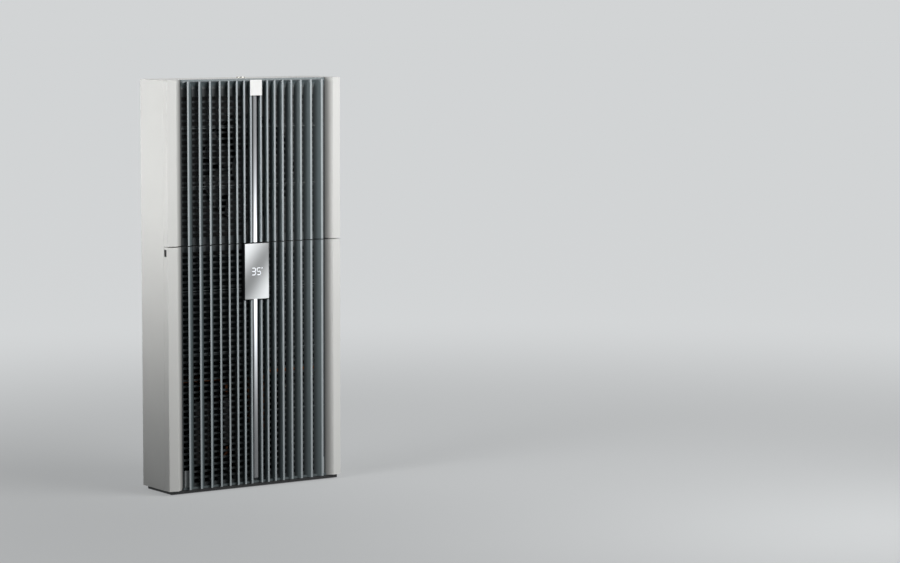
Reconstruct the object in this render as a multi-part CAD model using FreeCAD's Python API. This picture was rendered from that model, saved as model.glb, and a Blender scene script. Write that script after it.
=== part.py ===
import FreeCAD, Part
import math
import os

from FreeCAD import Vector

# Slim wall-mounted cooling unit for an electronics enclosure.
# Millimetres, +Z up. The front faces -Y, +X is to the right seen from the front.
# The origin is at the middle of the footprint, on the floor.
# Depths are counted from the front plane of the fins towards the back and are written d.

# Overall envelope
width = 470.0
cover_height = 950.0
hood_depth = 128.0
sheet = 1.5
fit_gap = 0.3

# Base
pad_height = 2.0
pad_width = 28.0
pad_length = 24.0
pad_end_distance = 22.0
plinth_height = 8.0
plinth_inset = 8.0
plinth_rail_width = 40.0
skirt_thickness = 4.0
base_rim = 20.0

# Hood flanges and the parting line to the front covers
return_depth = 22.0
parting_gap = 1.0
front_flange = 21.5
rear_flange = 20.0
top_flange = 18.0
hood_edge_radius = 1.4

# Front covers
seam_height = 567.5
seam_gap = 2.5
cover_floor_gap = 0.4
wing_width = 22.5
wing_wall = 2.5
wing_corner = 6.0
wing_foot = 4.0
wing_cap = 3.0
bevel_width = 16.5
bevel_depth = 11.0

# Fins: eight blades on each side, each wider apart and more slanted than the one before
fin_count = 8
fin_first = 13.5
fin_growth = 2.0
fin_depth = 12.0
fin_thickness = 4.6
fin_focus = 140.0
fin_edge = 0.7
rail_height = 4.0
rail_lip = 1.5
rail_skin = 3.0
cove_drop = 22.0
cove_foot = 1.0
foot_rail_height = 5.0
foot_rail_depth = 5.0
tie_height = 1.6
tie_depth = 2.0
tie_setback = 0.5
tie_half_gap = 8.0
upper_tie_pitch = 134.0
upper_tie_count = 2
lower_tie_first = 169.0
lower_tie_pitch = 146.0
lower_tie_count = 3

# Guard behind the fins
guard_thickness = 3.0
guard_margin = 8.0
guard_pitch = 14.3
guard_opening = 9.5

# Light guides, display and badge
light_width = 10.4
light_setback = 5.0
light_crown = 1.0
light_foot_gap = 12.0
display_width = 65.0
display_height = 130.5
display_proud = 1.5
display_wall = 2.0
display_pocket = 8.0
display_corner = 1.2
display_clear = 2.5
badge_width = 32.0
badge_height = 36.5
badge_thickness = 1.0
badge_drop = 2.5

# Seat tabs at the foot of the lower cover
tab_width = 14.0
tab_height = 40.0
tab_thickness = 3.0
tab_gap = 5.0
tab_lift = 4.0

# Release latches in the lower wings
notch_depth = 12.0
notch_height = 17.0
notch_drop = 5.0
latch_clear = 0.4
latch_recess = 1.0
latch_thickness = 6.0
latch_travel = 3.0
latch_arm_height = 8.0
latch_arm_thickness = 3.0
latch_arm_reach = 6.0
latch_rib = 2.0
latch_rib_length = 16.0
latch_slot_clear = 0.6

# Rear face
gasket_thickness = 4.0
gasket_width = 14.0
gasket_inset = 3.0
insert_inset = 35.0
insert_bore = 4.0
insert_across = 11.0
insert_flange = 9.0
insert_flange_height = 1.0
insert_length = 16.0
insert_blind = 2.0
insert_hole_clear = 0.2
lift_depth = 69.0
lift_flange = 10.0
lift_flange_height = 3.0
lift_length = 18.0
outlet_width = 300.0
outlet_height = 90.0
outlet_lift = 8.0
gland_x = 150.0
gland_lift = 60.0
gland_bore = 5.0
gland_barrel = 9.0
gland_flange = 13.0
gland_flange_height = 3.0
gland_length = 20.0

# Shelf, partition and condensate
shelf_gap = 21.5
front_zone = 53.0
tray_depth = 14.0
tray_clear = 3.0
drain_x = 10.0
drain_setback = 12.0
drain_radius = 6.0
drain_bore = 3.5
drain_spigot = 5.0
drain_hole_clear = 1.0

# Coils
header_radius = 7.0
header_overrun = 6.0
coil_plate = 2.0
coil_plate_overhang = 2.0
coil_pitch = 25.0
coil_groove = 3.0
coil_groove_height = 17.0
condenser_margin = 50.0
condenser_setback = 3.5
condenser_depth = 22.0
condenser_height = 245.0
condenser_lift = 14.0
evaporator_margin = 45.0
evaporator_gap = 6.5
evaporator_back_gap = 6.5
evaporator_height = 110.0
evaporator_lift = 141.0

# Condenser fan
shroud_depth = 21.0
shroud_top_gap = 4.0
ring_setback = 9.5
ring_length = 32.0
ring_radius = 124.0
ring_wall = 2.0
motor_radius = 38.0
motor_length = 20.0
motor_flange = 44.0
motor_arm_width = 12.0
motor_arm_thickness = 3.0
motor_arm_count = 4
shaft_radius = 4.0
shaft_length = 8.0
shaft_clear = 0.05
shaft_end_gap = 1.0
hub_radius = 46.0
hub_wall = 3.5
hub_overlap = 16.0
hub_boss = 9.0
blade_count = 7
blade_tip_gap = 3.0
blade_thickness = 2.5
blade_chord = 58.0
blade_pitch = 24.0

# Evaporator fan
wheel_motor_flange = 40.0
wheel_motor_flange_height = 3.0
wheel_motor_radius = 30.0
wheel_motor_length = 17.5
wheel_shaft_length = 9.0
wheel_gap = 6.5
wheel_radius = 92.0
wheel_eye = 62.0
wheel_plate = 2.0
wheel_hub = 38.0
wheel_hub_wall = 4.0
wheel_hub_clear = 2.5
wheel_boss = 9.0
wheel_blades = 7
wheel_blade_thickness = 2.5
wheel_blade_inner = 58.0
wheel_blade_outer = 90.0
wheel_blade_sweep = 42.0
inlet_radius = 56.0
inlet_wall = 2.0
inlet_flange = 86.0
inlet_flange_height = 2.0
inlet_length = 11.5
inlet_gap = 2.0
inlet_hole_clear = 4.0

# Compressor and cold circuit
compressor_side = 125.0
compressor_radius = 44.0
compressor_height = 195.0
compressor_foot = 22.0
compressor_dome = 22.0
compressor_neck = 8.0
grommet_radius = 11.0
grommet_height = 22.0
plate_length = 116.0
plate_depth = 72.0
plate_thickness = 3.0
plate_corner = 12.0
plate_hole_inset = 13.0
accumulator_radius = 22.0
accumulator_height = 130.0
accumulator_lift = 55.0
accumulator_gap = 4.0
accumulator_dome = 12.0
elbow_drop = 24.0
pipe_radius = 5.0
pipe_bend = 10.0
sharp_corners = 1
pipe_hole_clear = 1.0
discharge_rise = 31.0
suction_rise = 26.0
dryer_x = 40.0
dryer_radius = 13.0
dryer_height = 95.0
dryer_cone = 14.0
dryer_drop = 44.0
liquid_drop = 21.0
injection_drop = 25.0
valve_drop = 23.0
valve_body = 9.0
valve_body_height = 20.0
valve_head = 15.0
valve_head_height = 11.0
valve_neck_height = 6.0
feed_clear = 14.5

# Electronics
box_x = 92.0
box_side_gap = 18.0
box_setback = 9.5
box_gland_gap = 4.0
box_height = 224.0
box_wall = 1.5
box_wire_hole = 6.0
board_margin = 12.0
board_thickness = 1.6
board_standoff = 6.0
board_standoff_half = 3.0
capacitor_radius = 11.0
capacitor_height = 28.0
capacitor_count = 3

# Places that follow from the sizes above
half_width = width / 2
inner_half = half_width - sheet - fit_gap
base_z = pad_height + plinth_height
top_z = base_z + cover_height
front_y = (display_proud - hood_depth - gasket_thickness) / 2
hood_front = return_depth + parting_gap
flange_back = hood_front + sheet
panel_front = hood_depth - sheet
rear_flange_front = panel_front - sheet
seam_z = base_z + seam_height
upper_z = seam_z + seam_gap / 2
lower_top = seam_z - seam_gap / 2
lower_z = base_z + cover_floor_gap
wing_edge = half_width - wing_width
bevel_x = wing_edge - bevel_width
guard_half = bevel_x + wing_foot
guard_back = fin_depth + guard_thickness
display_z = lower_top - display_height
tray_front = flange_back + fit_gap
tray_back = rear_flange_front - fit_gap
floor_z = base_z + sheet
plate_z = floor_z + grommet_height
compressor_z = plate_z + plate_thickness
compressor_top = compressor_z + compressor_height
shelf_z = compressor_top + discharge_rise + pipe_radius + shelf_gap
shelf_top = shelf_z + sheet
partition_front = hood_front + front_zone
partition_back = partition_front + sheet
condenser_front = flange_back + condenser_setback
condenser_mid = condenser_front + condenser_depth / 2
condenser_half = half_width - condenser_margin
condenser_header_x = condenser_half + header_radius + fit_gap
condenser_header_z = shelf_top + header_overrun
shroud_z = shelf_top + condenser_lift + condenser_height
shroud_top = top_z - sheet - shroud_top_gap
fan_z = (shroud_z + shroud_top) / 2
ring_front = flange_back + ring_setback
ring_back = ring_front + ring_length
evaporator_front = partition_back + evaporator_gap
evaporator_back = panel_front - evaporator_back_gap
evaporator_mid = (evaporator_front + evaporator_back) / 2
evaporator_half = half_width - evaporator_margin
evaporator_header_x = evaporator_half + header_radius + fit_gap
evaporator_z = shelf_z + evaporator_lift
evaporator_header_z = evaporator_z - header_overrun
tray_half = evaporator_header_x - pipe_radius - tray_clear
drain_d = panel_front - drain_setback
compressor_x = compressor_side - half_width
compressor_d = (flange_back + panel_front) / 2
accumulator_x = compressor_x + compressor_radius + accumulator_gap + accumulator_radius
accumulator_z = compressor_z + accumulator_lift
dryer_top = shelf_z - dryer_drop
dryer_z = dryer_top - dryer_height
injection_z = dryer_z - injection_drop
feed_z = floor_z + box_height + feed_clear + pipe_radius
valve_top = feed_z - valve_drop
valve_z = valve_top - valve_neck_height - valve_head_height - valve_body_height
box_front = flange_back + box_setback
box_back = hood_depth - gland_length - box_gland_gap
box_end = inner_half - box_side_gap
notch_top = lower_top - notch_drop
notch_z = notch_top - notch_height
notch_front = return_depth - notch_depth
outlet_z = shelf_top + tray_depth + outlet_lift
gland_z = base_z + gland_lift


def point(x, d, z):
    """A point given by its depth behind the front plane."""
    return Vector(x, front_y + d, z)


def block(x0, x1, d0, d1, z0, z1):
    """A box between two corners."""
    return Part.makeBox(x1 - x0, d1 - d0, z1 - z0, point(x0, d0, z0))


def post(x, d, z0, z1, radius):
    """An upright cylinder."""
    return Part.makeCylinder(radius, z1 - z0, point(x, d, z0), Vector(0, 0, 1))


def shaft(x, z, d0, d1, radius):
    """A cylinder that points to the back."""
    return Part.makeCylinder(radius, d1 - d0, point(x, d0, z), Vector(0, 1, 0))


def six_sided(base, direction, length, across):
    """A bar with six flats, from a base point along a direction square to X."""
    arm = Vector(across / math.sqrt(3), 0, 0)
    corners = [base + FreeCAD.Rotation(direction, 60 * k).multVec(arm) for k in range(6)]
    return Part.Face(Part.makePolygon(corners + corners[:1])).extrude(direction * length)


def tube(x, z, d0, d1, outer, inner):
    """A hollow cylinder that points to the back."""
    return shaft(x, z, d0, d1, outer).cut(shaft(x, z, d0, d1, inner))


def fused(shapes):
    """One clean solid out of touching or overlapping shapes."""
    return shapes[0].multiFuse(shapes[1:]).removeSplitter()


def mirrored(shape):
    """The same shape on the other side of the middle plane."""
    return shape.mirror(Vector(0, 0, 0), Vector(1, 0, 0))


def both_sides(shape):
    """A shape and its mirror image as a group of two solids."""
    return Part.makeCompound([shape, mirrored(shape)])


def line_or_arc(start, step):
    """An edge from start to a point, or through a middle point to an end."""
    if len(step) == 1:
        return Part.makeLine(start, step[0])
    return Part.Arc(start, step[0], step[1]).toShape()


def face_of(start, steps):
    """A flat face from a closed run of lines and arcs."""
    edges = []
    here = start
    for step in steps + [[start]]:
        edges.append(line_or_arc(here, step))
        here = step[-1]
    return Part.Face(Part.Wire(edges))


def upright(face, height):
    """A plan face pulled up along Z."""
    return face.extrude(Vector(0, 0, height))


def revolved(x, d, outline):
    """A turned part about an upright axis, from (radius, height) pairs."""
    rim = [point(x + radius, d, z) for radius, z in outline]
    start = point(x, d, outline[0][1])
    end = point(x, d, outline[-1][1])
    face = Part.Face(Part.makePolygon([start] + rim + [end, start]))
    return face.revolve(point(x, d, 0), Vector(0, 0, 1), 360)


def pipe(corners, radius):
    """A round pipe through square corners, each taken in two slight bends."""
    path = [corners[0]]
    for before, corner, after in zip(corners, corners[1:], corners[2:]):
        path.append(corner + (before - corner).normalize() * pipe_bend)
        path.append(corner + (after - corner).normalize() * pipe_bend)
    path.append(corners[-1])
    section = Part.Wire([Part.makeCircle(radius, path[0], path[1] - path[0])])
    return Part.makePolygon(path).makePipeShell([section], True, False, sharp_corners)


def pan(x0, x1, d0, d1, z0, z1, wall):
    """A tray that is open at the top."""
    outside = block(x0, x1, d0, d1, z0, z1)
    return outside.cut(block(x0 + wall, x1 - wall, d0 + wall, d1 - wall, z0 + wall, z1))


def foot_pads():
    pad_x = half_width - plinth_inset - plinth_rail_width / 2
    places = [(side * pad_x, depth) for side in (-1, 1)
              for depth in (plinth_inset + pad_end_distance, hood_depth - plinth_inset - pad_end_distance)]
    pads = [block(x - pad_width / 2, x + pad_width / 2, d - pad_length / 2, d + pad_length / 2, 0, pad_height)
            for x, d in places]
    return Part.makeCompound(pads)


def plinth_rails():
    outer = half_width - plinth_inset
    rail = block(outer - plinth_rail_width, outer, plinth_inset, hood_depth - plinth_inset, pad_height, base_z)
    return both_sides(rail)


def plinth_skirt():
    reach = half_width - plinth_inset - plinth_rail_width
    return block(-reach, reach, plinth_inset, plinth_inset + skirt_thickness, pad_height, base_z)


def base_tray():
    tray = pan(-inner_half, inner_half, tray_front, tray_back, base_z, base_z + base_rim, sheet)
    return tray.cut(post(drain_x, drain_d, base_z, floor_z, drain_radius + drain_hole_clear))


def side_panel():
    """The right side: a folded sheet with a front and a rear flange."""
    out = half_width
    inn = half_width - sheet
    r = hood_edge_radius
    slant = r * (1 - math.cos(math.pi / 4))
    z = base_z
    steps = [
        [point(out, hood_front + r, z)],
        [point(out - slant, hood_front + slant, z), point(out - r, hood_front, z)],
        [point(out - front_flange, hood_front, z)],
        [point(out - front_flange, flange_back, z)],
        [point(inn, flange_back, z)],
        [point(inn, rear_flange_front, z)],
        [point(out - rear_flange, rear_flange_front, z)],
        [point(out - rear_flange, panel_front, z)],
        [point(inn, panel_front, z)],
        [point(inn, hood_depth, z)],
    ]
    panel = upright(face_of(point(out, hood_depth, z), steps), cover_height - sheet)
    arm_x, arm_z = latch_arm_place()
    slot = block(arm_x - latch_travel - latch_slot_clear,
                 arm_x + latch_arm_thickness + latch_slot_clear,
                 hood_front, flange_back,
                 arm_z - latch_slot_clear, arm_z + latch_arm_height + latch_slot_clear)
    return panel.cut(slot)


def top_panel():
    under = top_z - sheet
    flat = block(-half_width, half_width, hood_front, hood_depth, under, top_z)
    front_reach = half_width - front_flange - fit_gap
    rear_reach = half_width - rear_flange - fit_gap
    front = block(-front_reach, front_reach, hood_front, flange_back, under - top_flange, under)
    rear = block(-rear_reach, rear_reach, rear_flange_front, panel_front, under - top_flange, under)
    hole = six_sided(point(0, lift_depth, under), Vector(0, 0, 1), sheet, insert_across + 2 * insert_hole_clear)
    return fused([flat, front, rear]).cut(hole)


def insert_places():
    x = half_width - insert_inset
    return [(side * x, z) for side in (-1, 1) for z in (base_z + insert_inset, top_z - insert_inset)]


def rear_panel():
    panel = block(-inner_half, inner_half, panel_front, hood_depth, base_z, top_z - sheet - fit_gap)
    cuts = [six_sided(point(x, panel_front, z), Vector(0, 1, 0), sheet, insert_across + 2 * insert_hole_clear)
            for x, z in insert_places()]
    cuts.append(shaft(0, fan_z, panel_front, hood_depth, inlet_radius + inlet_hole_clear))
    cuts.append(shaft(gland_x, gland_z, panel_front, hood_depth, gland_barrel + fit_gap))
    cuts.append(block(-outlet_width / 2, outlet_width / 2, panel_front, hood_depth,
                      outlet_z, outlet_z + outlet_height))
    return panel.cut(Part.makeCompound(cuts))


def rear_gasket():
    out = inner_half - gasket_inset
    low = base_z + gasket_inset
    high = top_z - sheet - fit_gap - gasket_inset
    back = hood_depth + gasket_thickness
    upright_strip = block(out - gasket_width, out, hood_depth, back, low, high)
    reach = out - gasket_width
    bottom = block(-reach, reach, hood_depth, back, low, low + gasket_width)
    top = block(-reach, reach, hood_depth, back, high - gasket_width, high)
    return Part.makeCompound([upright_strip, mirrored(upright_strip), bottom, top])


def rear_inserts():
    inserts = []
    for x, z in insert_places():
        barrel = six_sided(point(x, hood_depth - insert_length, z), Vector(0, 1, 0), insert_length, insert_across)
        rim = shaft(x, z, hood_depth, hood_depth + insert_flange_height, insert_flange)
        mouth = hood_depth + insert_flange_height
        bore = shaft(x, z, hood_depth - insert_length + insert_blind, mouth, insert_bore)
        inserts.append(fused([barrel, rim]).cut(bore))
    return Part.makeCompound(inserts)


def lifting_insert():
    barrel = six_sided(point(0, lift_depth, top_z - lift_length), Vector(0, 0, 1), lift_length, insert_across)
    rim = post(0, lift_depth, top_z, top_z + lift_flange_height, lift_flange)
    bore = post(0, lift_depth, top_z - lift_length + insert_blind, top_z + lift_flange_height, insert_bore)
    return fused([barrel, rim]).cut(bore)


def cable_gland():
    barrel = shaft(gland_x, gland_z, hood_depth - gland_length, hood_depth, gland_barrel)
    back = hood_depth + gland_flange_height
    rim = shaft(gland_x, gland_z, hood_depth, back, gland_flange)
    return fused([barrel, rim]).cut(shaft(gland_x, gland_z, hood_depth - gland_length, back, gland_bore))


def pipe_hole(x, d):
    return post(x, d, shelf_z, shelf_top, pipe_radius + pipe_hole_clear)


def bay_shelf():
    shelf = block(-inner_half, inner_half, tray_front, tray_back, shelf_z, shelf_top)
    holes = [pipe_hole(side * condenser_header_x, condenser_mid) for side in (-1, 1)]
    holes += [pipe_hole(side * evaporator_header_x, evaporator_mid) for side in (-1, 1)]
    holes.append(post(drain_x, drain_d, shelf_z, shelf_top, drain_radius + drain_hole_clear))
    return shelf.cut(Part.makeCompound(holes))


def partition_panel():
    return block(-inner_half, inner_half, partition_front, partition_back, shelf_top, top_z - sheet - fit_gap)


def condensate_tray():
    front = partition_back + fit_gap
    tray = pan(-tray_half, tray_half, front, tray_back, shelf_top, shelf_top + tray_depth, sheet)
    return tray.cut(post(drain_x, drain_d, shelf_top, shelf_top + sheet, drain_bore))


def drain_pipe():
    upper = post(drain_x, drain_d, base_z, shelf_top, drain_radius)
    spigot = post(drain_x, drain_d, pad_height, base_z, drain_spigot)
    return fused([upper, spigot]).cut(post(drain_x, drain_d, pad_height, shelf_top, drain_bore))


def finned_block(half, d0, d1, z0, z1):
    """A coil pack whose tubes lie in rows, with grooves between them front and back."""
    pack = block(-half, half, d0, d1, z0, z1)
    rows = int((z1 - z0) / coil_pitch)
    grooves = []
    for row in range(rows):
        z = z0 + row * coil_pitch + (coil_pitch - coil_groove_height) / 2
        for front in (d0, d1 - coil_groove):
            grooves.append(block(-half, half, front, front + coil_groove, z, z + coil_groove_height))
    return pack.cut(Part.makeCompound(grooves))


def condenser_coil():
    low = shelf_top + condenser_lift
    back = condenser_front + condenser_depth
    pack = finned_block(condenser_half - coil_plate, condenser_front, back, low, shroud_z)
    plate = block(condenser_half - coil_plate, condenser_half, condenser_front - coil_plate_overhang,
                  back + coil_plate_overhang, shelf_top, shroud_z)
    return fused([pack, plate, mirrored(plate)])


def condenser_headers():
    return both_sides(post(condenser_header_x, condenser_mid, condenser_header_z,
                           shroud_z - header_overrun, header_radius))


def evaporator_coil():
    high = evaporator_z + evaporator_height
    pack = finned_block(evaporator_half - coil_plate, evaporator_front, evaporator_back, evaporator_z, high)
    plate = block(evaporator_half - coil_plate, evaporator_half, partition_back,
                  evaporator_back + coil_plate_overhang, evaporator_z, high)
    return fused([pack, plate, mirrored(plate)])


def evaporator_headers():
    high = evaporator_z + evaporator_height + header_overrun
    return both_sides(post(evaporator_header_x, evaporator_mid, evaporator_header_z, high, header_radius))


def fan_shroud():
    """A shallow tray open to the front, with the ring that the fan turns in."""
    back = flange_back + shroud_depth
    outside = block(-inner_half, inner_half, flange_back, back, shroud_z, shroud_top)
    inside = block(-inner_half + sheet, inner_half - sheet, flange_back, back - sheet,
                   shroud_z + sheet, shroud_top - sheet)
    ring = shaft(0, fan_z, ring_front, ring_back, ring_radius + ring_wall)
    opening = shaft(0, fan_z, flange_back, ring_back, ring_radius)
    return fused([outside.cut(inside), ring]).cut(opening)


def condenser_fan_motor():
    """An external-rotor motor on arms that rest on the back of the ring."""
    arm_back = ring_back + motor_arm_thickness
    body = shaft(0, fan_z, ring_back - motor_length, ring_back, motor_radius)
    flange = shaft(0, fan_z, ring_back, arm_back, motor_flange)
    spindle = shaft(0, fan_z, ring_back - motor_length - shaft_length, ring_back - motor_length, shaft_radius)
    pieces = [body, flange, spindle]
    for index in range(motor_arm_count):
        arm = block(0, ring_radius + ring_wall, ring_back, arm_back,
                    fan_z - motor_arm_width / 2, fan_z + motor_arm_width / 2)
        angle = 360.0 * (index + 0.5) / motor_arm_count
        arm.rotate(point(0, 0, fan_z), Vector(0, 1, 0), angle)
        pieces.append(arm)
    return fused(pieces)


def condenser_impeller():
    """A hub cup with pitched blades."""
    nose_back = ring_back - motor_length - shaft_length - shaft_end_gap
    nose = nose_back - hub_wall
    rim = ring_back - motor_length + hub_overlap
    cup = shaft(0, fan_z, nose, rim, hub_radius)
    cup = cup.cut(shaft(0, fan_z, nose_back, rim, hub_radius - hub_wall))
    boss = shaft(0, fan_z, nose, ring_back - motor_length - shaft_end_gap, hub_boss)
    blade_mid = (nose + rim) / 2
    blades = []
    for index in range(blade_count):
        blade = block(hub_radius - hub_wall / 2, ring_radius, blade_mid - blade_thickness / 2,
                      blade_mid + blade_thickness / 2, fan_z - blade_chord / 2, fan_z + blade_chord / 2)
        blade.rotate(point(0, blade_mid, fan_z), Vector(1, 0, 0), blade_pitch)
        blade.rotate(point(0, 0, fan_z), Vector(0, 1, 0), 360.0 * index / blade_count)
        blades.append(blade)
    swept = tube(0, fan_z, nose, rim, ring_radius - blade_tip_gap, hub_radius - hub_wall / 2)
    blades = [blade.common(swept) for blade in blades]
    bore = shaft(0, fan_z, nose_back, ring_back - motor_length, shaft_radius + shaft_clear)
    return fused([cup, boss] + blades).cut(bore)


def evaporator_fan_motor():
    flange_top = partition_back + wheel_motor_flange_height
    body_top = flange_top + wheel_motor_length
    flange = shaft(0, fan_z, partition_back, flange_top, wheel_motor_flange)
    body = shaft(0, fan_z, flange_top, body_top, wheel_motor_radius)
    spindle = shaft(0, fan_z, body_top, body_top + wheel_shaft_length, shaft_radius)
    return fused([flange, body, spindle])


def evaporator_impeller():
    """A radial wheel: hub, back plate, backward-curved blades and a front ring."""
    back = partition_back + wheel_gap
    front = panel_front - inlet_length - inlet_gap
    body_top = partition_back + wheel_motor_flange_height + wheel_motor_length
    cap = body_top + wheel_hub_clear
    plate = tube(0, fan_z, back, back + wheel_plate, wheel_radius, wheel_hub - wheel_hub_wall)
    wall = tube(0, fan_z, back, cap + wheel_plate, wheel_hub, wheel_hub - wheel_hub_wall)
    nose = shaft(0, fan_z, cap, cap + wheel_plate, wheel_hub)
    boss = shaft(0, fan_z, cap, body_top + wheel_shaft_length + shaft_end_gap, wheel_boss)
    ring = tube(0, fan_z, front - wheel_plate, front, wheel_radius, wheel_eye)
    blades = [wheel_blade(index, back + wheel_plate / 2, front - wheel_plate / 2)
              for index in range(wheel_blades)]
    bore = shaft(0, fan_z, cap, body_top + wheel_shaft_length + shaft_end_gap, shaft_radius + shaft_clear)
    return fused([plate, wall, nose, boss, ring] + blades).cut(bore)


def wheel_blade(index, d0, d1):
    """One blade of the radial wheel, an arc that sweeps back from its root to its tip."""
    turn = 2 * math.pi * index / wheel_blades
    sweep = math.radians(wheel_blade_sweep)
    middle_radius = (wheel_blade_inner + wheel_blade_outer) / 2
    lean = wheel_blade_thickness / middle_radius

    def at(radius, angle):
        return point(radius * math.cos(angle), d0, fan_z + radius * math.sin(angle))

    steps = [
        [at(middle_radius, turn + sweep * 0.4), at(wheel_blade_outer, turn + sweep)],
        [at(wheel_blade_outer, turn + sweep + lean)],
        [at(middle_radius, turn + sweep * 0.4 + lean), at(wheel_blade_inner, turn + lean)],
    ]
    return face_of(at(wheel_blade_inner, turn), steps).extrude(Vector(0, d1 - d0, 0))


def inlet_ring():
    """The mouth in the rear panel that leads warm air into the wheel."""
    throat = shaft(0, fan_z, panel_front - inlet_length, panel_front, inlet_radius + inlet_wall)
    rim = shaft(0, fan_z, panel_front - inlet_flange_height, panel_front, inlet_flange)
    return fused([throat, rim]).cut(shaft(0, fan_z, panel_front - inlet_length, panel_front, inlet_radius))


def grommet_places():
    x = plate_length / 2 - plate_hole_inset
    d = plate_depth / 2 - plate_hole_inset
    return [(compressor_x + i * x, compressor_d + j * d) for i in (-1, 1) for j in (-1, 1)]


def compressor_grommets():
    return Part.makeCompound([post(x, d, floor_z, plate_z, grommet_radius) for x, d in grommet_places()])


def compressor_plate():
    plate = block(compressor_x - plate_length / 2, compressor_x + plate_length / 2,
                  compressor_d - plate_depth / 2, compressor_d + plate_depth / 2, plate_z, compressor_z)
    corners = [edge for edge in plate.Edges if abs(edge.tangentAt(edge.FirstParameter).z) > 0.5]
    return plate.makeFillet(plate_corner, corners)


def vessel(x, d, z, height, radius, dome, neck):
    """A closed can with cone-shaped ends and flat necks."""
    shoulder = (radius + neck) / 2
    outline = [
        (neck, z),
        (shoulder, z + dome / 4),
        (radius, z + dome),
        (radius, z + height - dome),
        (shoulder, z + height - dome / 4),
        (neck, z + height),
    ]
    return revolved(x, d, outline)


def compressor():
    can = vessel(compressor_x, compressor_d, compressor_z, compressor_height,
                 compressor_radius, compressor_dome, compressor_neck)
    foot = post(compressor_x, compressor_d, compressor_z, compressor_z + compressor_dome, compressor_foot)
    return fused([can, foot])


def accumulator():
    return vessel(accumulator_x, compressor_d, accumulator_z, accumulator_height,
                  accumulator_radius, accumulator_dome, pipe_radius)


def accumulator_elbow():
    low = accumulator_z - elbow_drop
    return pipe([point(accumulator_x, compressor_d, accumulator_z),
                 point(accumulator_x, compressor_d, low),
                 point(compressor_x + compressor_radius + fit_gap, compressor_d, low)], pipe_radius)


def discharge_pipe():
    high = compressor_top + discharge_rise
    return pipe([point(compressor_x, compressor_d, compressor_top),
                 point(compressor_x, compressor_d, high),
                 point(-condenser_header_x, condenser_mid, high),
                 point(-condenser_header_x, condenser_mid, condenser_header_z)], pipe_radius)


def liquid_pipe():
    high = shelf_z - liquid_drop
    return pipe([point(condenser_header_x, condenser_mid, condenser_header_z),
                 point(condenser_header_x, condenser_mid, high),
                 point(dryer_x, condenser_mid, high),
                 point(dryer_x, condenser_mid, dryer_top)], pipe_radius)


def filter_dryer():
    return vessel(dryer_x, condenser_mid, dryer_z, dryer_height, dryer_radius, dryer_cone, pipe_radius)


def injection_pipe():
    return pipe([point(dryer_x, condenser_mid, dryer_z),
                 point(dryer_x, condenser_mid, injection_z),
                 point(dryer_x, evaporator_mid, injection_z),
                 point(dryer_x, evaporator_mid, valve_z)], pipe_radius)


def expansion_valve():
    head = valve_z + valve_body_height
    neck = head + valve_head_height
    return fused([post(dryer_x, evaporator_mid, valve_z, head, valve_body),
                  post(dryer_x, evaporator_mid, head, neck, valve_head),
                  post(dryer_x, evaporator_mid, neck, valve_top, pipe_radius)])


def evaporator_feed():
    return pipe([point(dryer_x, evaporator_mid, valve_top),
                 point(dryer_x, evaporator_mid, feed_z),
                 point(evaporator_header_x, evaporator_mid, feed_z),
                 point(evaporator_header_x, evaporator_mid, evaporator_header_z)], pipe_radius)


def suction_pipe():
    top = accumulator_z + accumulator_height
    high = top + suction_rise
    return pipe([point(-evaporator_header_x, evaporator_mid, evaporator_header_z),
                 point(-evaporator_header_x, evaporator_mid, high),
                 point(accumulator_x, evaporator_mid, high),
                 point(accumulator_x, compressor_d, high),
                 point(accumulator_x, compressor_d, top)], pipe_radius)


def electronics_box():
    outside = block(box_x, box_end, box_front, box_back, floor_z, floor_z + box_height)
    inside = block(box_x + box_wall, box_end - box_wall, box_front, box_back - box_wall,
                   floor_z + box_wall, floor_z + box_height - box_wall)
    wire_hole = shaft(gland_x, gland_z, box_back - box_wall, box_back, box_wire_hole)
    return outside.cut(inside).cut(wire_hole)


def electronics_lid():
    return block(box_x, box_end, box_front - sheet, box_front, floor_z, floor_z + box_height)


def control_board():
    """The circuit board on its standoffs, with the capacitors of the fan and compressor drives."""
    left = box_x + board_margin
    right = box_end - board_margin
    low = floor_z + board_margin
    high = floor_z + box_height - board_margin
    wall = box_back - box_wall
    back = wall - board_standoff
    front = back - board_thickness
    pieces = [block(left, right, front, back, low, high)]
    for x in (left + board_margin, right - board_margin):
        for z in (low + board_margin, high - board_margin):
            pieces.append(block(x - board_standoff_half, x + board_standoff_half, back, wall,
                                z - board_standoff_half, z + board_standoff_half))
    middle = (left + right) / 2
    for index in range(capacitor_count):
        z = low + (high - low) * (index + 1) / (capacitor_count + 1)
        pieces.append(shaft(middle, z, front - capacitor_height, front, capacitor_radius))
    return fused(pieces)


def wing_outline(z):
    """The outer run of a wing's section, from the back of the return to the guard."""
    slant = wing_corner * (1 - math.cos(math.pi / 4))
    return point(half_width, return_depth, z), [
        [point(half_width, wing_corner, z)],
        [point(half_width - slant, slant, z), point(half_width - wing_corner, 0, z)],
        [point(wing_edge, 0, z)],
        [point(bevel_x, bevel_depth, z)],
        [point(bevel_x, fin_depth, z)],
    ]


def wing_shell(z0, z1):
    start, steps = wing_outline(z0)
    inner_corner = wing_corner - wing_wall
    slant = wing_corner - inner_corner * math.cos(math.pi / 4)
    steps = steps + [
        [point(guard_half, fin_depth, z0)],
        [point(wing_edge + wing_wall / 2, wing_wall, z0)],
        [point(half_width - wing_corner, wing_wall, z0)],
        [point(half_width - slant, slant, z0), point(half_width - wing_wall, wing_corner, z0)],
        [point(half_width - wing_wall, return_depth, z0)],
    ]
    return upright(face_of(start, steps), z1 - z0)


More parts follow.
